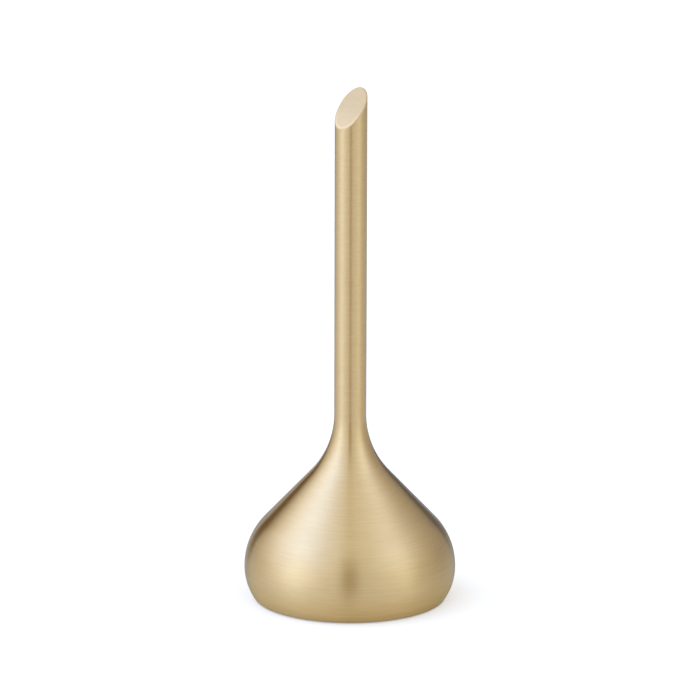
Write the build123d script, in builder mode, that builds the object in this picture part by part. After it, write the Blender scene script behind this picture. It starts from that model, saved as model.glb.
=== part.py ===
from build123d import *
import os
from math import asin, cos, degrees, radians, sin, sqrt, tan

# A free-standing toilet paper holder. A hollow teardrop body runs through a turned, flared neck
# into a slim stem, the stem is cut on a slant and closed by a welded plate, and one bolt from
# below draws a ballast casting up into the body.
# Millimetres and degrees. +Z is up, the origin is the middle of the foot on the floor, and
# the slanted cut faces -Y.

# Outer form
overall_height = 289.5  # floor to the eased tip
body_diameter = 119.0  # widest circle of the body
belly_height = 18.1  # that circle above the floor
foot_inset = 5.5  # how far the rim tucks in under the widest circle
rim_height = 0.5  # metal rim above the floor
rim_edge_radius = 0.35
shoulder_radius = 38.2  # rounding between the belly and the cone
shoulder_angle = 43.4  # cone, measured from the axis
flare_radius = 48.4  # hollow rounding between the cone and the stem
stem_diameter = 18.0
cut_angle = 52.0  # slanted cut, measured from the floor
tip_edge_radius = 0.9

# Walls of the sheet and tube
shell_wall = 1.0
tube_wall = 1.0
tip_plate_thickness = 2.5

# Neck between body and stem
neck_collar = 6.0  # straight part above the flare
neck_skirt = 3.0  # part of the cone below the flare
spigot_in_tube = 20.0
spigot_in_body = 4.0
spigot_chamfer = 1.0
braze_gap = 0.05

# Ballast casting
foot_clearance = 0.5  # round everything that goes in through the foot
seat_gap = 0.2  # adhesive bead between the casting's crown and the shell
crown_height = 4.5  # part of the casting that follows the shoulder
ballast_rim = 12.0
ballast_web = 10.0
hub_diameter = 30.0
casting_draft = 3.0
casting_radius = 3.0
casting_chamfer = 1.0

# Base plate and pad
plate_thickness = 1.5
well_diameter = 24.0
press_radius = 1.5
pad_thickness = 3.0
pad_lap = 2.0  # bare plate between the well's bend and the pad
pad_chamfer = 0.4

# Bolt and washers
bolt_diameter = 8.0
bolt_chamfer = 1.0
bolt_hole_clearance = 0.5
thread_gap = 0.05
thread_engagement = 14.0
thread_runout = 4.0
head_across_flats = 13.0
head_height = 5.3
head_recess = 2.0  # bolt head above the floor
head_chamfer_angle = 30.0
washer_diameter = 16.0
washer_thickness = 1.6
washer_clearance = 0.2
spring_diameter = 14.8
spring_thickness = 2.0
spring_split = 1.2
spring_split_angle = 20.0

# Values that follow from those above
stem_radius = stem_diameter / 2
body_radius = body_diameter / 2
bolt_radius = bolt_diameter / 2
bolt_hole_radius = bolt_radius + bolt_hole_clearance
angle = radians(shoulder_angle)
rise_to_belly = belly_height - rim_height
belly_radius = (foot_inset**2 + rise_to_belly**2) / (2 * foot_inset)
rounding_width = (flare_radius + shoulder_radius) * (1 - cos(angle))
cone_length = (body_radius - stem_radius - rounding_width) / sin(angle)
cone_rise = cone_length * cos(angle) + (flare_radius + shoulder_radius) * sin(angle)
flare_top = belly_height + cone_rise
neck_top = flare_top + neck_collar
joint_radius = stem_radius + flare_radius * (1 - cos(angle)) + neck_skirt * sin(angle)
joint_height = flare_top - flare_radius * sin(angle) - neck_skirt * cos(angle)

wedge_angle = 90 - cut_angle
eased_off = tip_edge_radius * (1 / tan(radians(wedge_angle / 2)) - 1)
sharp_peak = overall_height + eased_off
cut_height = sharp_peak - stem_radius * tan(radians(cut_angle))
cut_normal = (0, -sin(radians(cut_angle)), cos(radians(cut_angle)))
cut_plane = Plane(origin=(0, 0, cut_height), x_dir=(1, 0, 0), z_dir=cut_normal)
plate_seat = cut_plane.offset(-tip_plate_thickness)

belly_middle = body_radius - belly_radius
foot_opening = belly_middle + sqrt((belly_radius - shell_wall) ** 2 - rise_to_belly**2)
insert_radius = foot_opening - foot_clearance
shoulder_middle = body_radius - shoulder_radius
crown_radius = shoulder_radius - shell_wall - seat_gap
seat_height = belly_height + sqrt(crown_radius**2 - (insert_radius - shoulder_middle) ** 2)
ballast_top = seat_height + crown_height
seat_angle = degrees(asin((seat_height - belly_height) / crown_radius))
top_angle = degrees(asin((ballast_top - belly_height) / crown_radius))

bearing_height = head_recess + head_height
spring_top = bearing_height + spring_thickness
well_roof = spring_top + washer_thickness
hub_underside = well_roof + plate_thickness
plate_top = pad_thickness + plate_thickness
well_radius = well_diameter / 2
bend_radius = press_radius + plate_thickness
pad_hole_radius = well_radius + bend_radius + pad_lap
web_underside = ballast_top - ballast_web
hub_radius = hub_diameter / 2
hub_draft = (web_underside - hub_underside) * tan(radians(casting_draft))
rim_inside = insert_radius - ballast_rim
rim_draft = (web_underside - plate_top) * tan(radians(casting_draft))

neck_bottom = joint_height - spigot_in_body
body_spigot_radius = joint_radius - shell_wall / cos(angle) - braze_gap
tube_spigot_radius = stem_radius - tube_wall - braze_gap
bolt_end = neck_bottom + thread_engagement
washer_hole_radius = bolt_radius + washer_clearance
flat_radius = head_across_flats / 2
corner_radius = flat_radius / cos(radians(30))
chamfer_rise = (corner_radius - flat_radius) * tan(radians(head_chamfer_angle))


def body_line(inset):
    """Draw the body's half outline, moved inwards by inset, and return its ends at neck and rim."""
    top = (joint_radius - inset / cos(angle), joint_height)
    run = cone_length - neck_skirt + inset * tan(angle)
    tuck_angle = degrees(asin(rise_to_belly / (belly_radius - inset)))
    cone = PolarLine(top, run, shoulder_angle - 90)
    shoulder = JernArc(cone @ 1, cone % 1, shoulder_radius - inset, -shoulder_angle)
    belly = JernArc(shoulder @ 1, shoulder % 1, belly_radius - inset, -tuck_angle)
    return cone @ 0, belly @ 1


def plate_line(roof, wall_radius, flange, radii):
    """Draw one face of the pressed base plate in half section and return its two ends."""
    face = FilletPolyline(
        (bolt_hole_radius, roof),
        (wall_radius, roof),
        (wall_radius, flange),
        (insert_radius, flange),
        radius=radii,
    )
    return face @ 0, face @ 1


def circles_at(part, height):
    """Pick the circular edges of a part that lie at one height."""
    near = 1e-3
    return part.edges().filter_by(GeomType.CIRCLE).filter_by_position(Axis.Z, height - near, height + near)


# Body shell, a spun sheet of even wall
with BuildPart() as body_shell:
    with BuildSketch(Plane.XZ):
        with BuildLine():
            outer_top, outer_rim = body_line(0)
            inner_top, inner_rim = body_line(shell_wall)
            Line(outer_top, inner_top)
            Line(outer_rim, inner_rim)
        make_face()
    revolve(axis=Axis.Z)
    fillet(circles_at(body_shell, rim_height), min(rim_edge_radius, shell_wall / 3))

# Neck, turned solid, with a spigot at each end and a blind hole for the bolt
with BuildPart() as neck_flare:
    with BuildSketch(Plane.XZ):
        with BuildLine():
            collar = Line((stem_radius, neck_top), (stem_radius, flare_top))
            flare = JernArc(collar @ 1, collar % 1, flare_radius, shoulder_angle)
            skirt = PolarLine(flare @ 1, neck_skirt, shoulder_angle - 90)
            Polyline(
                skirt @ 1,
                (body_spigot_radius, joint_height),
                (body_spigot_radius, neck_bottom),
                (0, neck_bottom),
                (0, neck_top + spigot_in_tube),
                (tube_spigot_radius, neck_top + spigot_in_tube),
                (tube_spigot_radius, neck_top),
                collar @ 0,
            )
        make_face()
    revolve(axis=Axis.Z)
    chamfer(circles_at(neck_flare, neck_top + spigot_in_tube), spigot_chamfer)
    chamfer(circles_at(neck_flare, neck_bottom), spigot_chamfer)
    with Locations(Plane(origin=(0, 0, neck_bottom), z_dir=(0, 0, -1))):
        Hole(bolt_radius, depth=thread_engagement + thread_runout)

# Stem tube, on top of the neck's collar
with BuildPart() as stem_tube:
    with BuildSketch(Plane.XY.offset(neck_top)):
        Circle(stem_radius)
        Circle(stem_radius - tube_wall, mode=Mode.SUBTRACT)
    extrude(amount=sharp_peak - neck_top)
    split(bisect_by=plate_seat, keep=Keep.BOTTOM)

# Tip plate, an oblique slice of the stem with its upper edge eased
with BuildPart() as tip_plate:
    with BuildSketch(Plane.XY.offset(neck_top)):
        Circle(stem_radius)
    extrude(amount=sharp_peak - neck_top)
    split(bisect_by=plate_seat, keep=Keep.TOP)
    split(bisect_by=cut_plane, keep=Keep.BOTTOM)
    cut_face = tip_plate.faces().filter_by(GeomType.PLANE).sort_by(Axis(cut_plane.origin, cut_normal))[-1]
    fillet(cut_face.edges(), tip_edge_radius)

# Ballast, a casting with hub, web and heavy rim, open below
with BuildPart() as ballast:
    with BuildSketch(Plane.XZ):
        with BuildLine():
            below = Polyline(
                (bolt_hole_radius, ballast_top),
                (bolt_hole_radius, hub_underside),
                (hub_radius, hub_underside),
                (hub_radius + hub_draft, web_underside),
                (rim_inside - rim_draft, web_underside),
                (rim_inside, plate_top),
                (insert_radius, plate_top),
                (insert_radius, seat_height),
            )
            crown_middle = (shoulder_middle, belly_height)
            crown = CenterArc(crown_middle, crown_radius, seat_angle, top_angle - seat_angle)
            Line(crown @ 1, below @ 0)
        make_face()
    revolve(axis=Axis.Z)
    fillet(circles_at(ballast, web_underside), casting_radius)
    outer_foot = circles_at(ballast, plate_top).sort_by(SortBy.RADIUS)[-1]
    chamfer(outer_foot, casting_chamfer)

# Base plate, a pressed disc with a well for the bolt head
with BuildPart() as base_plate:
    with BuildSketch(Plane.XZ):
        with BuildLine():
            under_hole, under_rim = plate_line(
                well_roof, well_radius, pad_thickness, (press_radius, bend_radius)
            )
            over_hole, over_rim = plate_line(
                hub_underside, well_radius + plate_thickness, plate_top, (bend_radius, press_radius)
            )
            Line(under_hole, over_hole)
            Line(under_rim, over_rim)
        make_face()
    revolve(axis=Axis.Z)

# Tie bolt, hexagon head down, thread drawn as a plain shank
with BuildPart() as tie_bolt:
    with BuildSketch(Plane.XY.offset(head_recess)):
        RegularPolygon(flat_radius, side_count=6, major_radius=False)
    extrude(amount=head_height)
    with BuildSketch(Plane.XZ):
        with BuildLine():
            Polyline(
                (0, head_recess),
                (flat_radius, head_recess),
                (corner_radius, head_recess + chamfer_rise),
                (corner_radius, bearing_height),
                (0, bearing_height),
                close=True,
            )
        make_face()
    revolve(axis=Axis.Z, mode=Mode.INTERSECT)
    with BuildSketch(Plane.XY.offset(bearing_height)):
        Circle(bolt_radius - thread_gap)
    extrude(amount=bolt_end - bearing_height)
    chamfer(circles_at(tie_bolt, bolt_end), bolt_chamfer)

# Spring washer, a ring with one slanted split
with BuildPart() as spring_washer:
    with BuildSketch(Plane.XY.offset(bearing_height)):
        Circle(spring_diameter / 2)
        Circle(washer_hole_radius, mode=Mode.SUBTRACT)
    extrude(amount=spring_thickness)
    with Locations((spring_diameter / 2, 0, bearing_height + spring_thickness / 2)):
        Box(
            spring_diameter / 2,
            spring_split,
            3 * spring_thickness,
            rotation=(spring_split_angle, 0, 0),
            mode=Mode.SUBTRACT,
        )

# Plain washer
with BuildPart() as plain_washer:
    with BuildSketch(Plane.XY.offset(spring_top)):
        Circle(washer_diameter / 2)
        Circle(washer_hole_radius, mode=Mode.SUBTRACT)
    extrude(amount=washer_thickness)

# Pad, a non-slip ring under the base plate
with BuildPart() as pad:
    with BuildSketch(Plane.XY):
        Circle(insert_radius)
        Circle(pad_hole_radius, mode=Mode.SUBTRACT)
    extrude(amount=pad_thickness)
    chamfer(circles_at(pad, 0), pad_chamfer)

pieces = {
    "body_shell": body_shell,
    "neck_flare": neck_flare,
    "stem_tube": stem_tube,
    "tip_plate": tip_plate,
    "ballast": ballast,
    "base_plate": base_plate,
    "tie_bolt": tie_bolt,
    "spring_washer": spring_washer,
    "plain_washer": plain_washer,
    "pad": pad,
}
os.makedirs("parts", exist_ok=True)
for name, piece in pieces.items():
    piece.part.label = name
    export_step(piece.part, f"parts/{name}.step")
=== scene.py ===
from math import asin, cos, pi, radians, sin, tan

import bpy
import numpy as np
from bpy.props import FloatProperty, FloatVectorProperty, IntProperty, PointerProperty
from mathutils import Matrix, Vector


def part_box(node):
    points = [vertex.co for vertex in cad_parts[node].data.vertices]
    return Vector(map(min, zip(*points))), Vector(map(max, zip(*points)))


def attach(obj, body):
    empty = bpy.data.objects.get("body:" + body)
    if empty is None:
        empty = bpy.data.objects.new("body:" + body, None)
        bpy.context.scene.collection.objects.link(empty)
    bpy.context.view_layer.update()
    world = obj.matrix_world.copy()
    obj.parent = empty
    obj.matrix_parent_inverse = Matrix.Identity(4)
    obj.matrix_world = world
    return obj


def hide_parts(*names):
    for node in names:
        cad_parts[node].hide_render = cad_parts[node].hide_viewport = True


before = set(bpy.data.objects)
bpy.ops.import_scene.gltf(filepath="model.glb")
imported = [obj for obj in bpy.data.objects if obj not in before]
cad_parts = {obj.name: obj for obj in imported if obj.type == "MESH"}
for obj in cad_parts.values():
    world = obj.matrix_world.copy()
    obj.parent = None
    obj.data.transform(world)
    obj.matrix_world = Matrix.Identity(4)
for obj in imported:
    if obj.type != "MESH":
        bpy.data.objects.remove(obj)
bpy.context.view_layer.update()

bl_info = {
    "name": "Toilet paper holder",
    "version": (1, 0, 0),
    "blender": (4, 5, 0),
    "location": "View3D > Sidebar > Stand",
    "description": "Builds a brushed gold teardrop stand for toilet rolls round its packed solids",
    "category": "Object",
}

# Lengths are metres and angles radians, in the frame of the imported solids: +Z up along the stem,
# the origin in the middle of the foot, and the slanted cut facing -Y.

UPWARD = np.array([0.0, 0.0, 1.0])

# Bend over which an edge is shown sharp, on turned and on forged pieces
TURNED_EDGE = radians(28)
FORGED_EDGE = radians(20)


def low(node):
    """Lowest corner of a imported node."""
    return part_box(node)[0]


def high(node):
    """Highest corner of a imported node."""
    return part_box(node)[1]


def length(name, description, default):
    """A length that a user may change."""
    return FloatProperty(
        name=name, description=description, default=default, min=0.0, unit="LENGTH", precision=5
    )


def turn(name, description, default):
    """An angle that a user may change, given here in degrees."""
    return FloatProperty(name=name, description=description, default=radians(default), subtype="ANGLE")


def tint(name, description, default):
    """A linear colour that a user may change."""
    return FloatVectorProperty(
        name=name, description=description, default=default, min=0.0, max=6.0, size=3, subtype="COLOR"
    )


def share(name, description, default):
    """A plain number that a user may change."""
    return FloatProperty(name=name, description=description, default=default, min=0.0)


class StandSizes(bpy.types.PropertyGroup):
    """Sizes of the stand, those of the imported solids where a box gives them."""

    body_radius: length("Body radius", "Widest circle of the body", high("body_shell").x)
    belly_height: length("Belly height", "Height of the widest circle", 0.0181)
    foot_inset: length("Foot inset", "How far the rim tucks in under the widest circle", 0.0055)
    rim_height: length("Rim height", "Metal rim above the floor", low("body_shell").z)
    rim_edge: length("Rim edge", "Rounding of the rim's two edges", 0.00033)
    shell_wall: length("Shell wall", "Wall of the spun body", 0.001)
    shoulder_radius: length("Shoulder radius", "Rounding between belly and cone", 0.0382)
    shoulder_angle: turn("Shoulder angle", "Cone, measured from the axis", 43.4)
    joint_height: length("Joint height", "Joint of body and neck", high("body_shell").z)
    flare_radius: length("Flare radius", "Hollow rounding between cone and stem", 0.0484)
    stem_radius: length("Stem radius", "Outside of the stem", high("stem_tube").x)
    tube_wall: length("Tube wall", "Wall of the stem", 0.001)
    collar_top: length("Collar top", "Joint of neck and stem", low("stem_tube").z)
    spigot_top: length("Spigot top", "Upper end of the neck inside the stem", high("neck_flare").z)
    spigot_bottom: length("Spigot bottom", "Lower end of the neck inside the body", low("neck_flare").z)
    spigot_chamfer: length("Spigot chamfer", "Lead-in of both spigots", 0.001)
    braze_gap: length("Braze gap", "Film round both spigots", 0.00005)
    tip_height: length("Tip height", "Floor to the eased tip", high("tip_plate").z)
    cut_angle: turn("Cut angle", "Slanted cut, measured from the floor", 52.0)
    tip_thickness: length("Tip thickness", "Plate that closes the slanted cut", 0.0025)
    tip_edge: length("Tip edge", "Rounding round the slanted face", 0.0009)
    insert_radius: length("Insert radius", "Plate and pad that go in through the foot", high("pad").x)
    pad_thickness: length("Pad thickness", "Non-slip ring", high("pad").z)
    pad_hole: length("Pad hole", "Opening round the well", 0.017)
    pad_chamfer: length("Pad chamfer", "Lower edges of the ring", 0.0004)
    plate_thickness: length("Plate thickness", "Pressed base plate", 0.0015)
    plate_roof: length("Plate roof", "Top of the pressed well", high("base_plate").z)
    plate_hole: length("Plate hole", "Hole for the bolt", 0.0045)
    well_radius: length("Well radius", "Inside of the pressed well", 0.012)
    press_radius: length("Press radius", "Inner bend of the pressing", 0.0015)
    bolt_radius: length("Bolt radius", "Bolt, without its thread gap", 0.004)
    bolt_chamfer: length("Bolt chamfer", "End of the bolt", 0.001)
    thread_gap: length("Thread gap", "Bolt to tapped hole", 0.00005)
    thread_runout: length("Thread runout", "Tapped hole beyond the bolt's end", 0.004)
    head_flats: length("Head flats", "Bolt head, middle to flat", 0.0065)
    head_height: length("Head height", "Bolt head along the bolt", 0.0053)
    head_chamfer: turn("Head chamfer", "Bevel of the bolt head's corners", 30.0)
    washer_edge: length("Washer edge", "Rounding of the stamped washer's edges", 0.0002)
    washer_hole: length("Washer hole", "Inside of the plain washer", 0.0042)
    columns: IntProperty(
        name="Columns", description="Faces round the axis, a multiple of 12", default=192, min=48
    )


class StandFinishes(bpy.types.PropertyGroup):
    """Colours and surface of the stand's metals and rubber."""

    gold_bright: tint("Gold, bright", "Brushed gold on the ridges of its strokes", (0.737, 0.577, 0.3455))
    gold_deep: tint("Gold, deep", "Brushed gold in the grooves of its strokes", (0.663, 0.519, 0.3105))
    gold_grazing: tint("Gold, grazing", "Tint of brushed gold seen along its surface", (0.87, 0.96, 1.0))
    gold_roughness: share("Gold roughness", "Mean roughness of the brushed gold", 0.2975)
    gold_grain: share("Gold grain", "Anisotropy of the strokes round the axis", 1.0)
    # Tip, bright and Tip, deep mostly carry painted light, the lower end of the slanted face lit brighter
    # and its upper end darker, with a little scratch grain
    tip_bright: tint("Tip, bright", "Ground slanted face on its ridges", (0.725, 0.595, 0.398))
    tip_deep: tint("Tip, deep", "Ground slanted face in its scratches", (0.635, 0.505, 0.315))
    # Painted highlight: a colour brighter than the gold, for the light that the eased edge catches
    tip_edge_painted_highlight: tint("Tip edge", "Polished edge round the slanted face", (0.82, 0.665, 0.43))
    tip_roughness: share("Tip roughness", "Mean roughness of the ground face", 0.6)
    edge_roughness: share("Edge roughness", "Roughness of the tip's polished edge", 0.5)
    # These two also set where the edge's painted highlight begins and where it is full
    polish_start: length("Polish start", "Where the polish begins, inside the eased edge", 0.0003)
    polish_full: length("Polish full", "Where it is full, outside the start of the eased edge", 0.0001)
    wall_gold_start: length("Wall gold start", "Where the wall's gold begins, further out", 0.0003)
    wall_gold_full: length("Wall gold full", "Where that gold is full", 0.0006)
    zinc_bright: tint("Zinc, bright", "Plated pressing and fasteners", (0.60, 0.61, 0.63))
    zinc_dull: tint("Zinc, dull", "Bloom on the plating", (0.42, 0.44, 0.46))
    spring_steel: tint("Spring steel", "Blackened split washer", (0.16, 0.16, 0.175))
    cast_iron: tint("Cast iron", "Ballast under dark primer", (0.065, 0.065, 0.07))
    rubber: tint("Rubber", "Non-slip ring", (0.03, 0.03, 0.031))


class StandStage(bpy.types.PropertyGroup):
    """Camera, lights and floor."""

    camera_azimuth: turn("Camera azimuth", "Camera round the stand, from -Y towards +X", 40.9)
    camera_elevation: turn("Camera elevation", "Camera above the horizon", 13.228)
    camera_roll: turn("Camera roll", "Lean of the camera about its own axis", 0.158)
    camera_distance: length("Camera distance", "Camera to the point it looks at", 2.1273)
    aim_height: length("Aim height", "Point on the axis that the camera looks at", 0.14253)
    aim_left: length("Aim left", "How far left of the axis the camera looks", 0.00023)
    lens: FloatProperty(name="Lens", description="Focal length in millimetres", default=196.43, min=1.0)
    sensor: FloatProperty(name="Sensor", description="Its width in millimetres", default=36.0, min=1.0)
    floor_colour: tint("Floor colour", "Pale floor, as it lights the stand", (0.78, 0.735, 0.65))
    # Painted light: the floor by the foot is coloured warmer and darker for the gold's glow and the stand's
    # shade, as lighting and reflections see it; the camera does not
    floor_painted_glow_and_shade: tint("Floor near", "That floor by the foot, in the gold's glow", (0.755, 0.675, 0.445))
    # Radii over which that painted glow and shade fade out
    near_start: length("Near start", "Radius at which that glow begins to fade", 0.066)
    near_end: length("Near end", "Radius at which it has gone", 0.084)
    floor_seen: tint("Floor seen", "The same floor before the camera", (0.74, 0.77, 0.84))
    floor_white: tint("Floor white", "Light that lifts the floor to white", (0.37, 0.37, 0.37))
    floor_glint: share("Floor glint", "Part of that light which the metal shows too", 0.2)
    floor_polish: share("Floor polish", "How far the floor mirrors the studio to the metal", 1.0)
    floor_gloss: share("Floor gloss", "Roughness of that mirror", 0.1)
    floor_index: share("Floor index", "Refractive index of the floor's wax", 1.5)
    floor_drop: length("Floor drop", "How far the floor lies under the pad", 0.0001)
    overhead: tint("Overhead", "Soft light from above", (1.01, 1.00, 0.92))
    overhead_low: turn("Overhead low", "Elevation at which the light from above begins", -3.8)
    overhead_high: turn("Overhead high", "Elevation at which it is full", 82.4)
    room: tint("Room", "Dim studio beside and behind the stand", (0.42, 0.35, 0.28))
    front: tint("Front", "Soft light from the camera's side", (0.80, 0.77, 0.66))
    front_width: turn("Front width", "Half width of the camera's side", 74.3)
    front_fade: turn("Front fade", "Half of the bearings over which that side ends", 13.2)
    left_low: tint("Left, low", "Foot of the main wall of light, left of the camera", (0.52, 0.51, 0.41))
    left_high: tint("Left, high", "Top of the main wall of light", (0.85, 1.41, 3.14))
    left_bearing: turn("Left bearing", "Main wall's brightest line, from the camera", 84.2)
    left_width: turn("Left width", "Half width of its bright part", 62.0)
    left_rest: share("Left rest", "Light of the rest of that wall", 0.25)
    left_end: turn("Left end", "Bearing at which that wall ends", 141.1)
    left_top: turn("Left top", "Elevation at which it has half faded", 60.9)
    left_far: tint("Left, far", "Warm light over the far end of that wall", (0.65, 0.63, 0.36))
    far_start: turn("Far start", "Bearing at which the warm light begins", 80.0)
    far_full: turn("Far full", "Bearing at which it is full", 125.0)
    left_band: tint("Left band", "Cool band of light low on the left", (0.70, 0.89, 1.08))
    left_band_bearing: turn("Left band bearing", "Band's brightest line, from the camera", 64.4)
    left_band_width: turn("Left band width", "Band's half width", 46.1)
    left_band_top: turn("Left band top", "Elevation at which the band has half faded", 12.0)
    right_low: tint("Right, low", "Foot of the weaker wall, right of the camera", (0.32, 0.32, 0.12))
    right_high: tint("Right, high", "Top of the weaker wall of light", (0.76, 0.99, 1.83))
    right_bearing: turn("Right bearing", "Weaker wall's brightest line, from the camera", 68.4)
    right_width: turn("Right width", "Half width of its bright part", 54.7)
    right_rest: share("Right rest", "Light of the rest of that wall", 0.0)
    right_end: turn("Right end", "Bearing at which that wall ends", 149.1)
    right_top: turn("Right top", "Elevation at which it has half faded", 50.0)
    wall_start: turn("Wall start", "Bearing by which both walls have begun", 30.0)
    wall_change: turn("Wall change", "Elevation at which the walls have changed colour", 73.7)
    wall_fade: turn("Wall fade", "Half of the height over which they fade", 25.0)
    band_fade: turn("Band fade", "Half of the height over which the band fades", 15.0)
    gap: tint("Gap", "Dark gap between the walls, round the camera", (0.30, 0.19, 0.0))
    gap_width: turn("Gap width", "Half width of the gap", 16.8)
    gap_core: turn("Gap core", "Half width of its darkest part", 1.0)
    gap_low: turn("Gap low", "Elevation up to which the gap is darkest", 10.0)
    gap_top: turn("Gap top", "Elevation at which the gap has closed", 48.6)
    panel_left: tint("Panel, left", "Dark panel behind the stand, left of its middle", (0.19, 0.11, 0.03))
    panel_right: tint("Panel, right", "The same panel, right of its middle", (0.15, 0.12, 0.11))
    panel_top: turn("Panel top", "Elevation at which the panel ends", 31.7)
    panel_fade: turn("Panel fade", "Half of the height over which it ends", 8.0)
    backdrop: tint("Backdrop", "Pale backdrop before that panel, near the floor", (0.46, 0.48, 0.60))
    backdrop_bearing: turn("Backdrop bearing", "Backdrop's middle, past straight behind", 4.9)
    backdrop_width: turn("Backdrop width", "Backdrop's half width", 19.8)
    backdrop_top: turn("Backdrop top", "Elevation at which the backdrop ends", 7.0)
    soft_edge: turn("Soft edge", "Half width of the softened edges", 1.5)


class Form:
    """Radii and heights that follow from the sizes."""

    def __init__(self, sizes):
        angle = sizes.shoulder_angle
        roundings = (sizes.flare_radius + sizes.shoulder_radius) * (1 - cos(angle))
        cone = (sizes.body_radius - sizes.stem_radius - roundings) / sin(angle)
        bends = (sizes.flare_radius + sizes.shoulder_radius) * sin(angle)
        self.flare_top = sizes.belly_height + cone * cos(angle) + bends
        flare_foot = self.flare_top - sizes.flare_radius * sin(angle)
        foot_radius = sizes.stem_radius + sizes.flare_radius * (1 - cos(angle))
        self.joint_radius = foot_radius + (flare_foot - sizes.joint_height) * tan(angle)
        self.wall_across = sizes.shell_wall / cos(angle)
        self.shoulder_middle = sizes.body_radius - sizes.shoulder_radius
        self.tuck = sizes.belly_height - sizes.rim_height
        self.belly_radius = (sizes.foot_inset**2 + self.tuck**2) / (2 * sizes.foot_inset)
        self.belly_middle = sizes.body_radius - self.belly_radius

        slope = tan(sizes.cut_angle)
        eased_off = sizes.tip_edge * (1 / tan(pi / 4 - sizes.cut_angle / 2) - 1)
        self.slope = slope
        self.cut_height = sizes.tip_height + eased_off - sizes.stem_radius * slope
        self.seat_height = self.cut_height - sizes.tip_thickness / cos(sizes.cut_angle)
        self.ease_height = self.cut_height - sizes.tip_edge / cos(sizes.cut_angle)
        self.cut_normal = np.array([0.0, -sin(sizes.cut_angle), cos(sizes.cut_angle)])


# Section lines, as rows of radius and height


def stretch(start, end, rows):
    """Straight run from start to end, evenly divided, without its end point."""
    share_along = np.arange(rows)[:, None] / rows
    return np.asarray(start) + share_along * (np.asarray(end) - np.asarray(start))


def bow(middle, radius, start, end, rows):
    """Arc about middle: middle plus radius times the cosine and sine of an evenly divided angle."""
    angles = np.linspace(start, end, rows)
    return np.asarray(middle) + radius * np.stack([np.cos(angles), np.sin(angles)], axis=1)


def rounded(corners, radii, rows=7):
    """Polyline with rounded corners: each corner point gives way to the arc that touches both its
    sides, whose ends lie radius times the tangent of half the turn away from the corner."""
    corners = np.asarray(corners, float)
    line = [corners[:1]]
    for before, corner, after, radius in zip(corners, corners[1:], corners[2:], radii):
        come = (corner - before) / np.linalg.norm(corner - before)
        leave = (after - corner) / np.linalg.norm(after - corner)
        turned_by = np.arctan2(come[0] * leave[1] - come[1] * leave[0], come @ leave)
        side = np.sign(turned_by) * np.array([-come[1], come[0]])
        touch = corner - come * radius * abs(tan(turned_by / 2))
        first = np.arctan2(-side[1], -side[0])
        line.append(bow(touch + radius * side, radius, first, first + turned_by, rows))
    line.append(corners[-1:])
    return np.concatenate(line)


# Surfaces, as grids of section rows by columns round the axis


def around(columns):
    """Angles of the columns, and the outward direction at each."""
    angles = np.arange(columns) * 2 * pi / columns
    return angles, np.stack([np.cos(angles), np.sin(angles), 0 * angles], axis=1)


def spun(section, columns):
    """Surface of revolution: radius times the outward direction, plus the height along Z."""
    outward = around(columns)[1]
    section = np.asarray(section)
    return section[:, 0, None, None] * outward + section[:, 1, None, None] * UPWARD


def skin(name, grid, poles=None, sharp=TURNED_EDGE):
    """Mesh of a grid whose columns close round the axis. Its rows run down the outside: without
    poles the last row joins the first, and with two poles each end closes in a fan of triangles."""
    rows, columns = grid.shape[:2]
    index = np.arange(rows * columns).reshape(rows, columns)
    upper = index if poles is None else index[:-1]
    lower = np.roll(index, -1, axis=0) if poles is None else index[1:]
    quads = np.stack([upper, lower, np.roll(lower, -1, axis=1), np.roll(upper, -1, axis=1)], axis=-1)
    points = grid.reshape(-1, 3)
    faces = quads.reshape(-1, 4).tolist()
    if poles is not None:
        first, last = index[0], index[-1]
        top, bottom = np.full(columns, points.shape[0]), np.full(columns, points.shape[0] + 1)
        faces += np.stack([top, first, np.roll(first, -1)], axis=-1).tolist()
        faces += np.stack([bottom, np.roll(last, -1), last], axis=-1).tolist()
        points = np.concatenate([points, np.asarray(poles, float)])
    mesh = bpy.data.meshes.new(name)
    mesh.from_pydata(points.tolist(), [], faces)
    mesh.shade_smooth()
    mesh.set_sharp_from_angle(angle=sharp)
    mesh.validate()
    return mesh


def place(mesh, node, slot, *materials):
    """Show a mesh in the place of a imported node, in its finish and on its body."""
    piece = bpy.data.objects.new(mesh.name, mesh)
    bpy.context.scene.collection.objects.link(piece)
    for material in materials:
        mesh.materials.append(material)
    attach(piece, "root")
    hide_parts(node)
    return piece


def dress(node, material):
    """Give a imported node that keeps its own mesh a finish."""
    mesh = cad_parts[node].data
    mesh.materials.clear()
    mesh.materials.append(material)


# Shader graphs


class Wire:
    """An output socket on which Python's arithmetic adds Math nodes."""

    def __init__(self, graph, socket):
        self.graph = graph
        self.socket = socket

    def math(self, operation, *values):
        """A Math node on these values, which are wires or numbers."""
        return self.graph.node("ShaderNodeMath", {"operation": operation}, dict(enumerate(values)))["Value"]

    def __add__(self, other):
        return self.math("ADD", self, other)

    def __radd__(self, other):
        return self.math("ADD", other, self)

    def __sub__(self, other):
        return self.math("SUBTRACT", self, other)

    def __rsub__(self, other):
        return self.math("SUBTRACT", other, self)

    def __mul__(self, other):
        return self.math("MULTIPLY", self, other)

    def __rmul__(self, other):
        return self.math("MULTIPLY", other, self)

    def __truediv__(self, other):
        return self.math("DIVIDE", self, other)

    def __pow__(self, other):
        return self.math("POWER", self, other)


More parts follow.
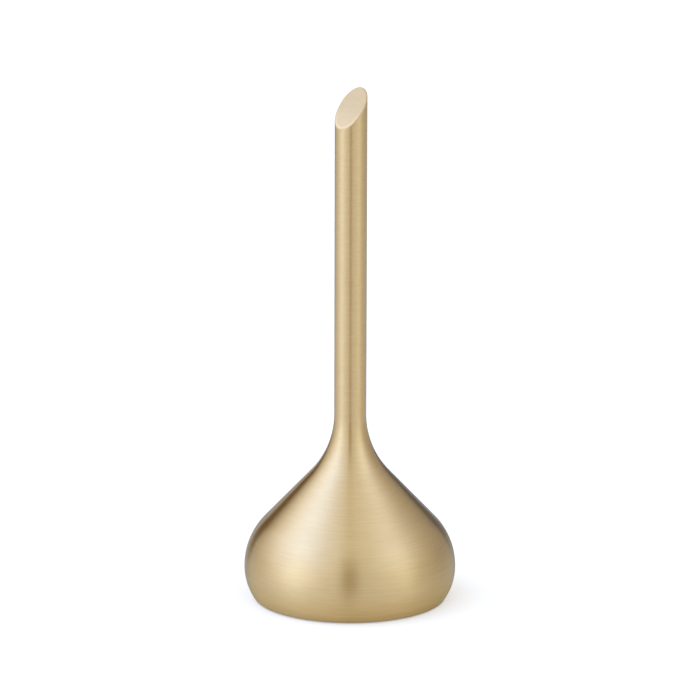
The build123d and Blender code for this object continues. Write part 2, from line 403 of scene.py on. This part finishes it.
class Graph:
    """A node tree that is being wired."""

    def __init__(self, tree):
        self.tree = tree
        tree.nodes.clear()

    def node(self, kind, settings=None, inputs=None):
        """Add a node of a type, make its settings, fill its sockets with values or wires, and
        return its outputs by name."""
        made = self.tree.nodes.new(kind)
        for key, value in (settings or {}).items():
            setattr(made, key, value)
        for key, value in (inputs or {}).items():
            if isinstance(value, Wire):
                self.tree.links.new(value.socket, made.inputs[key])
            else:
                made.inputs[key].default_value = value
        return {socket.name: Wire(self, socket) for socket in made.outputs if socket.enabled}

    def xyz(self, vector):
        """The three parts of a vector."""
        parts = self.node("ShaderNodeSeparateXYZ", None, {"Vector": vector})
        return parts["X"], parts["Y"], parts["Z"]

    def position(self):
        """The three parts of the place on the object, in metres."""
        return self.xyz(self.node("ShaderNodeTexCoord")["Object"])

    def noise(self, x, y, z, detail=2.0):
        """Noise from 0 to 1 at a place whose unit is one blotch."""
        at = self.node("ShaderNodeCombineXYZ", None, {"X": x, "Y": y, "Z": z})["Vector"]
        return self.node("ShaderNodeTexNoise", None, {"Vector": at, "Scale": 1.0, "Detail": detail})["Fac"]

    def mottle(self, size, detail):
        """Even noise whose blotches have one size in metres."""
        x, y, z = self.position()
        return self.noise(x / size, y / size, z / size, detail)

    def span(self, value, low_end, high_end):
        """Carry a value from the range between two ends smoothly to 0 to 1."""
        settings = {"interpolation_type": "SMOOTHSTEP"}
        inputs = {"Value": value, "From Min": low_end, "From Max": high_end}
        return self.node("ShaderNodeMapRange", settings, inputs)["Result"]

    def blend(self, factor, first, second, way="MIX"):
        """Mix two colours, which go into sockets 6 and 7 of a Mix node."""
        colours = [c if isinstance(c, Wire) else (*c, 1.0) for c in (first, second)]
        settings = {"data_type": "RGBA", "blend_type": way}
        inputs = {"Factor": factor, 6: colours[0], 7: colours[1]}
        return self.node("ShaderNodeMix", settings, inputs)["Result"]

    def add(self, first, amount, second):
        """Add a share of a second colour to a first."""
        return self.blend(amount, first, second, "ADD")

    def bump(self, height, depth):
        """Normal of a relief whose height runs from 0 to 1 over a depth in metres."""
        return self.node("ShaderNodeBump", None, {"Height": height, "Distance": depth})["Normal"]

    def finish(self, **sockets):
        """End in a Principled shader with these sockets, spelt with underscores."""
        inputs = {key.replace("_", " "): value for key, value in sockets.items()}
        surface = self.node("ShaderNodeBsdfPrincipled", None, inputs)["BSDF"]
        self.node("ShaderNodeOutputMaterial", None, {"Surface": surface})


def material(name, wire_up):
    """The material of that name, wired the first time it is asked for."""
    made = bpy.data.materials.get(name)
    if made is None:
        made = bpy.data.materials.new(name)
        made.use_nodes = True
        wire_up(Graph(made.node_tree), bpy.context.scene.stand_finishes)
    return made


def swing(noise, mean, reach):
    """A mean value that noise from 0 to 1 moves over a reach."""
    return mean + reach * (noise - 0.5)


def paler(colour, times):
    """A colour made so many times as bright."""
    return tuple(times * part for part in colour)


def brushed_gold(graph, looks):
    """Gold brushed on a lathe: strokes are noise drawn out round the axis, read at the outward
    direction and at the way along the section, as long fine, short fine and broad strokes."""
    x, y, z = graph.position()
    radius = (x * x + y * y) ** 0.5
    # The way along the section grows upwards, and inwards at this rate
    inward = 0.7
    way = z - inward * radius
    across, along = x / radius, y / radius

    def drawn(tightness, width):
        """Noise drawn out into strokes: the tighter the shorter, and so wide along the section."""
        return graph.noise(across * tightness, along * tightness, way / width)

    long = drawn(tightness=0.8, width=0.00045)
    short = drawn(tightness=3.2, width=0.00040)
    broad = drawn(tightness=3.5, width=0.0016)
    strokes = 0.42 * long + 0.34 * short + 0.24 * broad
    ridge = graph.span(strokes, 0.32, 0.68)
    quarter_turn = 0.25
    graph.finish(
        Base_Color=graph.blend(ridge, looks.gold_deep, looks.gold_bright),
        Metallic=1.0,
        Roughness=swing(strokes, mean=looks.gold_roughness, reach=-0.05),
        Specular_Tint=(*looks.gold_grazing, 1.0),
        Anisotropic=looks.gold_grain,
        Anisotropic_Rotation=quarter_turn,
        Normal=graph.bump(strokes, depth=0.00001),
    )


def ground_tip(graph, looks):
    """Gold ground straight across the slanted face: noise drawn out along X, with painted light that makes
    the face brighter towards its lower end, and a line of polish round its edge that goes over to the
    wall's gold; that line's brighter colour is a painted highlight, also strongest towards the lower end."""
    sizes = bpy.context.scene.stand_sizes
    form = Form(sizes)
    x, y, z = graph.position()
    radius = (x * x + y * y) ** 0.5
    face_radius = sizes.stem_radius - sizes.tip_edge
    # Band of the edge's polish, which also carries its painted highlight
    polish_and_painted_highlight = graph.span(radius, face_radius - looks.polish_start, face_radius + looks.polish_full)
    turned = graph.span(radius, face_radius + looks.wall_gold_start, face_radius + looks.wall_gold_full)

    def scratched(length_along, width, depth):
        """Noise drawn out into scratches along X."""
        return graph.noise(x / length_along, (y + z) / width, z / depth)

    fine = scratched(length_along=0.006, width=0.0005, depth=0.01)
    broad = scratched(length_along=0.012, width=0.003, depth=0.02)
    strokes = 0.6 * fine + 0.4 * broad
    drop = form.slope * sizes.stem_radius
    # Painted light: the face and its edge line are made brighter towards the lower end of the slanted face
    lower = graph.span(z, form.cut_height + 0.2 * drop, form.cut_height - drop)
    painted_light_share = 0.7
    # The face's colour mixes scratch grain with that painted light, mostly the painted light
    ridge = (1 - painted_light_share) * graph.span(strokes, 0.3, 0.7) + painted_light_share * lower
    face = graph.blend(ridge, looks.tip_deep, looks.tip_bright)
    # Painted highlight: the edge's colour is brighter than the gold, for the light that the eased edge
    # catches
    edge = graph.blend(turned, looks.tip_edge_painted_highlight, looks.gold_deep)
    ground = swing(strokes, mean=looks.tip_roughness, reach=-0.10)
    graph.finish(
        Base_Color=graph.blend(polish_and_painted_highlight * (1 - painted_light_share + painted_light_share * lower), face, edge),
        Metallic=1.0,
        Roughness=ground + turned * (looks.edge_roughness - ground),
        Normal=graph.bump(strokes * (1 - polish_and_painted_highlight), depth=0.00001),
    )


def zinc_plate(graph, looks):
    """Zinc plating: cloudy bloom in two sizes over a bright metal."""
    cloud = graph.mottle(size=0.012, detail=4.0)
    grain = graph.mottle(size=0.0006, detail=1.0)
    bloom = graph.span(0.75 * cloud + 0.25 * grain, 0.36, 0.64)
    graph.finish(
        Base_Color=graph.blend(bloom, looks.zinc_bright, looks.zinc_dull),
        Metallic=1.0,
        Roughness=swing(bloom, mean=0.38, reach=0.16),
        Normal=graph.bump(grain, depth=0.000004),
    )


def spring_steel(graph, looks):
    """Blackened spring steel with faint drawn lines round the ring."""
    x, y, z = graph.position()
    radius = (x * x + y * y) ** 0.5
    line_length, line_width = 0.02, 0.0004
    lines = graph.noise(x / line_length, z / line_width, radius / line_width)
    worn = paler(looks.spring_steel, times=2.2)
    graph.finish(
        Base_Color=graph.blend(graph.span(lines, 0.45, 0.75), looks.spring_steel, worn),
        Metallic=1.0,
        Roughness=swing(lines, mean=0.48, reach=0.12),
    )


def cast_iron(graph, looks):
    """Sand-cast iron under dark primer: coarse sand grain and wide uneven patches."""
    sand = graph.mottle(size=0.0012, detail=3.0)
    patch = graph.mottle(size=0.02, detail=3.0)
    dusty = paler(looks.cast_iron, times=1.7)
    graph.finish(
        Base_Color=graph.blend(graph.span(0.5 * sand + 0.5 * patch, 0.35, 0.7), looks.cast_iron, dusty),
        Roughness=swing(sand, mean=0.72, reach=0.16),
        Normal=graph.bump(sand, depth=0.00025),
    )


def pad_rubber(graph, looks):
    """Matt rubber with a fine moulded grain and a little dust."""
    grain = graph.mottle(size=0.0005, detail=2.0)
    dust = graph.mottle(size=0.009, detail=4.0)
    dusty = paler(looks.rubber, times=1.6)
    graph.finish(
        Base_Color=graph.blend(graph.span(dust, 0.5, 0.8), looks.rubber, dusty),
        Roughness=swing(grain, mean=0.78, reach=0.12),
        Normal=graph.bump(grain, depth=0.00006),
    )


class STAND_OT_body_shell(bpy.types.Operator):
    """Spin the teardrop shell: cone, shoulder, belly and rim outside, and the same inside"""

    bl_idname = "stand.body_shell"
    bl_label = "Body shell"

    def execute(self, context):
        sizes = context.scene.stand_sizes
        form = Form(sizes)
        angle, wall, edge = sizes.shoulder_angle, sizes.shell_wall, sizes.rim_edge
        cone_rows, shoulder_rows, belly_rows, edge_rows = 30, 49, 33, 6
        inner_cone_rows, inner_shoulder_rows, inner_belly_rows = 8, 25, 17
        shoulder = (form.shoulder_middle, sizes.belly_height)
        belly = (form.belly_middle, sizes.belly_height)
        outer_reach = form.belly_radius - edge
        inner_reach = form.belly_radius - wall + edge
        outer_tuck = -asin((form.tuck - edge) / outer_reach)
        inner_tuck = -asin((form.tuck - edge) / inner_reach)
        rim = sizes.rim_height + edge
        outer_edge = (form.belly_middle + outer_reach * cos(outer_tuck), rim)
        inner_edge = (form.belly_middle + inner_reach * cos(inner_tuck), rim)
        outer_shoulder = bow(shoulder, sizes.shoulder_radius, angle, 0.0, shoulder_rows)
        inner_shoulder = bow(shoulder, sizes.shoulder_radius - wall, 0.0, angle, inner_shoulder_rows)
        inner_joint = (form.joint_radius - form.wall_across, sizes.joint_height)
        section = [
            stretch((form.joint_radius, sizes.joint_height), outer_shoulder[0], cone_rows),
            outer_shoulder[:-1],
            bow(belly, form.belly_radius, 0.0, outer_tuck, belly_rows),
            bow(outer_edge, edge, outer_tuck, -pi / 2, edge_rows)[1:],
            bow(inner_edge, edge, -pi / 2, inner_tuck - pi, edge_rows)[:-1],
            bow(belly, form.belly_radius - wall, inner_tuck, 0.0, inner_belly_rows)[:-1],
            inner_shoulder,
            stretch(inner_shoulder[-1], inner_joint, inner_cone_rows)[1:],
            [inner_joint],
        ]
        mesh = skin("gold_body_shell", spun(np.concatenate(section), sizes.columns))
        place(mesh, "body_shell", "satin_gold_body", material("Brushed gold", brushed_gold))
        return {"FINISHED"}


class STAND_OT_neck_flare(bpy.types.Operator):
    """Turn the flared neck with its two spigots and the blind hole for the bolt"""

    bl_idname = "stand.neck_flare"
    bl_label = "Neck flare"

    def execute(self, context):
        sizes = context.scene.stand_sizes
        form = Form(sizes)
        bevel = sizes.spigot_chamfer
        in_tube = sizes.stem_radius - sizes.tube_wall - sizes.braze_gap
        in_body = form.joint_radius - form.wall_across - sizes.braze_gap
        flare_middle = (sizes.stem_radius + sizes.flare_radius, form.flare_top)
        flare_rows = 49
        flare = bow(flare_middle, sizes.flare_radius, pi, pi + sizes.shoulder_angle, flare_rows)
        hole_end = high("tie_bolt").z + sizes.thread_runout
        section = [
            [(in_tube - bevel, sizes.spigot_top), (in_tube, sizes.spigot_top - bevel)],
            [(in_tube, sizes.collar_top), (sizes.stem_radius, sizes.collar_top)],
            flare,
            [(form.joint_radius, sizes.joint_height), (in_body, sizes.joint_height)],
            [(in_body, sizes.spigot_bottom + bevel), (in_body - bevel, sizes.spigot_bottom)],
            [(sizes.bolt_radius, sizes.spigot_bottom), (sizes.bolt_radius, hole_end)],
        ]
        poles = [(0, 0, sizes.spigot_top), (0, 0, hole_end)]
        mesh = skin("gold_neck_flare", spun(np.concatenate(section), sizes.columns), poles)
        place(mesh, "neck_flare", "satin_gold_body", material("Brushed gold", brushed_gold))
        return {"FINISHED"}


class STAND_OT_stem_tube(bpy.types.Operator):
    """Draw the stem as a tube whose upper end follows the slanted seat of the tip"""

    bl_idname = "stand.stem_tube"
    bl_label = "Stem tube"

    def execute(self, context):
        sizes = context.scene.stand_sizes
        form = Form(sizes)
        angles, outward = around(sizes.columns)

        def wall(radius, shares):
            """Ruled wall: at each column the height runs from the seat, which climbs with Y, down to
            the joint."""
            seat = form.seat_height + radius * np.sin(angles) * form.slope
            heights = seat + shares[:, None] * (sizes.collar_top - seat)
            return radius * outward + heights[..., None] * UPWARD

        outer_rows, inner_rows = 41, 6
        outer = wall(sizes.stem_radius, np.linspace(0.0, 1.0, outer_rows))
        inner = wall(sizes.stem_radius - sizes.tube_wall, np.linspace(1.0, 0.0, inner_rows))
        mesh = skin("gold_stem_tube", np.concatenate([outer, inner]))
        place(mesh, "stem_tube", "satin_gold_body", material("Brushed gold", brushed_gold))
        return {"FINISHED"}


class STAND_OT_tip_plate(bpy.types.Operator):
    """Close the slanted cut with a plate whose edge is eased all round"""

    bl_idname = "stand.tip_plate"
    bl_label = "Tip plate"

    def execute(self, context):
        sizes = context.scene.stand_sizes
        form = Form(sizes)
        angles, outward = around(sizes.columns)
        inset = sizes.stem_radius - sizes.tip_edge
        ease_middle = inset * outward
        ease_middle[:, 2] = form.ease_height + inset * np.sin(angles) * form.slope

        # The eased edge rolls a ball: from its middle the direction turns evenly from the face's
        # normal to the outward direction of the wall
        between = np.arccos(outward @ form.cut_normal)[None, :, None]
        ease_rows, side_rows = 15, 7
        part = np.linspace(0.0, 1.0, ease_rows)[:, None, None]
        direction = np.sin((1 - part) * between) * form.cut_normal + np.sin(part * between) * outward
        ease = ease_middle + sizes.tip_edge * direction / np.sin(between)

        face_middle = np.array([0.0, 0.0, form.cut_height])
        face_rings = np.array([0.3, 0.6, 0.85, 0.95, 0.99])[:, None, None]
        face = face_middle + face_rings * (ease[0] - face_middle)
        seat = sizes.stem_radius * outward
        seat[:, 2] = form.seat_height + sizes.stem_radius * np.sin(angles) * form.slope
        side = ease[-1] + np.linspace(0.0, 1.0, side_rows)[1:, None, None] * (seat - ease[-1])
        under_middle = np.array([0.0, 0.0, form.seat_height])
        under_rings = np.array([0.9, 0.5])[:, None, None]
        under = under_middle + under_rings * (seat - under_middle)

        grid = np.concatenate([face, ease, side, under])
        mesh = skin("gold_tip_plate", grid, [face_middle, under_middle])
        strips = len(grid) - 1
        ground = np.arange(strips) < len(face) + len(ease) - 1
        fans = [False, True]
        finish = np.repeat(np.concatenate([~ground, fans]), sizes.columns)
        place(
            mesh,
            "tip_plate",
            "satin_gold_tip",
            material("Ground gold", ground_tip),
            material("Brushed gold", brushed_gold),
        )
        mesh.polygons.foreach_set("material_index", finish.astype(np.int32))
        return {"FINISHED"}


class STAND_OT_underside(bpy.types.Operator):
    """Press the base plate with its well, and mould the non-slip ring under it"""

    bl_idname = "stand.underside"
    bl_label = "Base plate and pad"

    def execute(self, context):
        sizes = context.scene.stand_sizes
        thick, bend = sizes.plate_thickness, sizes.press_radius
        flange, roof = sizes.pad_thickness, sizes.plate_roof
        outside = sizes.well_radius + thick
        over = [(sizes.plate_hole, roof), (outside, roof), (outside, flange + thick)]
        over.append((sizes.insert_radius, flange + thick))
        under = [(sizes.insert_radius, flange), (sizes.well_radius, flange)]
        under += [(sizes.well_radius, roof - thick), (sizes.plate_hole, roof - thick)]
        section = [rounded(over, (bend + thick, bend)), rounded(under, (bend + thick, bend))]
        plate = skin("zinc_base_plate", spun(np.concatenate(section), sizes.columns))
        place(plate, "base_plate", "zinc_plate", material("Zinc plate", zinc_plate))

        bevel, rim, hole = sizes.pad_chamfer, sizes.insert_radius, sizes.pad_hole
        section = [(rim, flange), (rim, bevel), (rim - bevel, 0)]
        section += [(hole + bevel, 0), (hole, bevel), (hole, flange)]
        pad = skin("rubber_pad", spun(section, sizes.columns))
        place(pad, "pad", "pad_rubber", material("Pad rubber", pad_rubber))
        return {"FINISHED"}


class STAND_OT_fasteners(bpy.types.Operator):
    """Forge the hexagon bolt, stamp the plain washer, and finish the split washer and the ballast"""

    bl_idname = "stand.fasteners"
    bl_label = "Bolt, washers and ballast"

    def execute(self, context):
        sizes = context.scene.stand_sizes
        angles, outward = around(sizes.columns)
        foot, end = low("tie_bolt").z, high("tie_bolt").z
        bearing = foot + sizes.head_height
        shank = sizes.bolt_radius - sizes.thread_gap
        sector = pi / 3
        # Middle to side of a hexagon: the flat's distance over the cosine of the angle off that flat
        hexagon = sizes.head_flats / np.cos((angles + sector / 2) % sector - sector / 2)
        bevel = foot + (hexagon - sizes.head_flats) * tan(sizes.head_chamfer)
        radii = [shank - sizes.bolt_chamfer, shank, shank, hexagon, hexagon, sizes.head_flats]
        heights = [end, end - sizes.bolt_chamfer, bearing, bearing, bevel, foot]
        flat = np.ones_like(angles)
        grid = np.stack([r * flat for r in radii])[..., None] * outward
        grid[..., 2] = np.stack([h * flat for h in heights])
        bolt = skin("zinc_tie_bolt", grid, [(0, 0, end), (0, 0, foot)], FORGED_EDGE)
        place(bolt, "tie_bolt", "zinc_fastener", material("Zinc plate", zinc_plate))

        rim, hole, edge = high("plain_washer").x, sizes.washer_hole, sizes.washer_edge
        top, bottom = high("plain_washer").z, low("plain_washer").z
        middle = (hole + rim) / 2
        corners = [(middle, top), (rim, top), (rim, bottom), (hole, bottom), (hole, top), (middle, top)]
        edge_rows = 4
        section = rounded(corners, (edge,) * 4, edge_rows)[:-1]
        washer = skin("zinc_plain_washer", spun(section, sizes.columns))
        place(washer, "plain_washer", "zinc_fastener", material("Zinc plate", zinc_plate))
        dress("spring_washer", material("Spring steel", spring_steel))
        dress("ballast", material("Cast iron", cast_iron))
        return {"FINISHED"}


class STAND_OT_stage(bpy.types.Operator):
    """Lay the pale floor, light the studio round the stand, and place the camera"""

    bl_idname = "stand.stage"
    bl_label = "Stage"

    def execute(self, context):
        stage = context.scene.stand_stage
        azimuth = stage.camera_azimuth
        self.toward = Vector((sin(azimuth), -cos(azimuth), 0.0))
        self.right = Vector((cos(azimuth), sin(azimuth), 0.0))
        self.lay_floor(context, stage)
        self.light_studio(context, stage)
        self.place_camera(context, stage)
        context.scene.view_settings.view_transform = "Standard"
        return {"FINISHED"}

    def lay_floor(self, context, stage):
        """A wide flat ring under the stand, open below it so that the foot can be seen from under
        the floor. The camera sees it lifted towards white, with the stand's shadow on it. What lights and
        mirrors into the stand is painted warmer and darker by the foot, as painted glow and shade of the
        gold."""
        rings = np.array([6.0, 1.0, 0.3, 0.1, 0.05])
        columns = 96
        grid = rings[:, None, None] * around(columns)[1] - stage.floor_drop * UPWARD
        index = np.arange(len(rings) * columns).reshape(-1, columns)
        upper, lower = index[:-1], index[1:]
        quads = np.stack([upper, np.roll(upper, -1, 1), np.roll(lower, -1, 1), lower], axis=-1)
        mesh = bpy.data.meshes.new("floor")
        mesh.from_pydata(grid.reshape(-1, 3).tolist(), [], quads.reshape(-1, 4).tolist())
        floor = bpy.data.objects.new("floor", mesh)
        context.scene.collection.objects.link(floor)
        paint = bpy.data.materials.new("Pale floor")
        paint.use_nodes = True
        graph = Graph(paint.node_tree)
        ray = graph.node("ShaderNodeLightPath")
        x, y, z = graph.position()
        # Painted glow and shade: the floor is coloured warmer and darker by the foot, for all but camera
        # rays
        away = graph.span((x * x + y * y) ** 0.5, stage.near_start, stage.near_end)
        colour = graph.blend(away, stage.floor_painted_glow_and_shade, stage.floor_colour)
        colour = graph.blend(ray["Is Camera Ray"], colour, stage.floor_seen)
        matt = graph.node("ShaderNodeBsdfDiffuse", None, {"Color": colour})["BSDF"]
        strength = ray["Is Camera Ray"] + stage.floor_glint * ray["Is Glossy Ray"]
        inputs = {"Color": (*stage.floor_white, 1.0), "Strength": strength}
        lift = graph.node("ShaderNodeEmission", None, inputs)["Emission"]
        lit = graph.node("ShaderNodeAddShader", None, {0: matt, 1: lift})["Shader"]
        gloss = graph.node("ShaderNodeBsdfAnisotropic", None, {"Roughness": stage.floor_gloss})["BSDF"]
        sheen = graph.node("ShaderNodeFresnel", None, {"IOR": stage.floor_index})["Fac"]
        mirrored = stage.floor_polish * sheen * (1 - ray["Is Camera Ray"])
        waxed = graph.node("ShaderNodeMixShader", None, {0: mirrored, 1: lit, 2: gloss})["Shader"]
        clear = graph.node("ShaderNodeBsdfTransparent")["BSDF"]
        under = graph.node("ShaderNodeNewGeometry")["Backfacing"]
        both = graph.node("ShaderNodeMixShader", None, {0: under, 1: waxed, 2: clear})["Shader"]
        graph.node("ShaderNodeOutputMaterial", None, {"Surface": both})
        mesh.materials.append(paint)

    def light_studio(self, context, stage):
        """A world of soft light: full overhead, soft from the front and dim behind. Two walls of light
        stand left and right, the left one warm at its far end and with a cool band low on it, and leave
        a dark gap for the camera. Behind the stand, where they end, a dark panel has a pale backdrop
        before it. The camera itself sees plain white."""
        world = bpy.data.worlds.new("studio")
        context.scene.world = world
        world.use_nodes = True
        graph = Graph(world.node_tree)
        x, y, z = graph.xyz(graph.node("ShaderNodeTexCoord")["Generated"])
        level = (x * x + y * y) ** 0.5
        climb = z.math("ARCSINE", z)
        soft = stage.soft_edge

        def off(bearing):
            """Angle between a direction's bearing and this one, which is counted from the camera."""
            middle = cos(bearing) * self.toward + sin(bearing) * self.right
            facing = (x * middle.x + y * middle.y) / level
            return facing.math("ARCCOSINE", facing)

        def edge(angle, end, softness):
            """One up to an angle, and nothing past it."""
            return graph.span(angle, end + softness, end - softness)

        ahead = off(0.0)
        light = graph.blend(edge(ahead, stage.front_width, stage.front_fade), stage.room, stage.front)
        above = graph.span(climb, stage.overhead_low, stage.overhead_high)
        light = graph.blend(above, light, stage.overhead)
        change = graph.span(climb, 0.0, stage.wall_change)

        def wall(light, side, bearing, width, rest, end, top, low_colour, high_colour):
            """Add a wall of light on one side: brightest at its bearing, even beyond its width, and with
            a clear end."""
            swell = rest + (1 - rest) * graph.span(off(side * bearing), width, 0.0)
            begun = graph.span(off(side * pi / 2), pi / 2, pi / 2 - stage.wall_start)
            shape = swell * begun * edge(ahead, end, soft) * edge(climb, top, stage.wall_fade)
            return graph.add(light, shape, graph.blend(change, low_colour, high_colour))

        light = wall(
            light, -1, stage.left_bearing, stage.left_width, stage.left_rest, stage.left_end,
            stage.left_top, stage.left_low, stage.left_high,
        )
        light = wall(
            light, 1, stage.right_bearing, stage.right_width, stage.right_rest, stage.right_end,
            stage.right_top, stage.right_low, stage.right_high,
        )
        far = graph.span(ahead, stage.far_start, stage.far_full) * edge(ahead, stage.left_end, soft)
        far = far * edge(off(-pi / 2), pi / 2, soft) * edge(climb, stage.left_top, stage.wall_fade) * change
        light = graph.add(light, far, stage.left_far)
        gap = graph.span(ahead, stage.gap_width, stage.gap_core)
        gap = gap * graph.span(climb, stage.gap_top, stage.gap_low)
        light = graph.blend(gap, light, stage.gap)
        band = graph.span(off(-stage.left_band_bearing), stage.left_band_width, 0.0)
        band = band * edge(climb, stage.left_band_top, stage.band_fade)
        light = graph.add(light, band, stage.left_band)
        panel_middle = pi + (stage.right_end - stage.left_end) / 2
        panel_width = pi - (stage.right_end + stage.left_end) / 2
        panel = edge(off(panel_middle), panel_width, soft) * edge(climb, stage.panel_top, stage.panel_fade)
        shade = graph.blend(edge(off(pi / 2), pi / 2, soft), stage.panel_left, stage.panel_right)
        light = graph.blend(panel, light, shade)
        behind = edge(off(pi + stage.backdrop_bearing), stage.backdrop_width, soft)
        light = graph.add(light, behind * edge(climb, stage.backdrop_top, soft), stage.backdrop)
        camera_ray = graph.node("ShaderNodeLightPath")["Is Camera Ray"]
        seen = graph.blend(camera_ray, light, (1.0, 1.0, 1.0))
        sky = graph.node("ShaderNodeBackground", None, {"Color": seen})["Background"]
        graph.node("ShaderNodeOutputWorld", None, {"Surface": sky})

    def place_camera(self, context, stage):
        """A long lens that looks down at the stand and leans a little."""
        lens = bpy.data.cameras.new("camera")
        lens.lens = stage.lens
        lens.sensor_width = stage.sensor
        camera = bpy.data.objects.new("camera", lens)
        context.scene.collection.objects.link(camera)
        aim = Vector((0, 0, stage.aim_height)) - stage.aim_left * self.right
        away = cos(stage.camera_elevation) * self.toward + Vector((0, 0, sin(stage.camera_elevation)))
        turned = away.to_track_quat("Z", "Y").to_matrix().to_4x4()
        lean = Matrix.Rotation(stage.camera_roll, 4, "Z")
        camera.matrix_world = Matrix.Translation(aim + stage.camera_distance * away) @ turned @ lean
        context.scene.camera = camera


class STAND_PT_panel(bpy.types.Panel):
    """Lists the stand's pieces and their sizes"""

    bl_idname = "STAND_PT_panel"
    bl_label = "Toilet paper holder"
    bl_space_type = "VIEW_3D"
    bl_region_type = "UI"
    bl_category = "Stand"

    def draw(self, context):
        for operator in operators:
            self.layout.operator(operator.bl_idname)
        for name, group in groups.items():
            column = self.layout.column(align=True)
            for key in group.__annotations__:
                column.prop(getattr(context.scene, name), key)


operators = (
    STAND_OT_body_shell,
    STAND_OT_neck_flare,
    STAND_OT_stem_tube,
    STAND_OT_tip_plate,
    STAND_OT_underside,
    STAND_OT_fasteners,
    STAND_OT_stage,
)
groups = {"stand_sizes": StandSizes, "stand_finishes": StandFinishes, "stand_stage": StandStage}


def register():
    for group in groups.values():
        bpy.utils.register_class(group)
    for name, group in groups.items():
        setattr(bpy.types.Scene, name, PointerProperty(type=group))
    for operator in operators:
        bpy.utils.register_class(operator)
    bpy.utils.register_class(STAND_PT_panel)


def unregister():
    bpy.utils.unregister_class(STAND_PT_panel)
    for operator in reversed(operators):
        bpy.utils.unregister_class(operator)
    for name in groups:
        delattr(bpy.types.Scene, name)
    for group in reversed(groups.values()):
        bpy.utils.unregister_class(group)


def main():
    register()
    bpy.ops.stand.body_shell()
    bpy.ops.stand.neck_flare()
    bpy.ops.stand.stem_tube()
    bpy.ops.stand.tip_plate()
    bpy.ops.stand.underside()
    bpy.ops.stand.fasteners()
    bpy.ops.stand.stage()


if __name__ == "__main__":
    main()
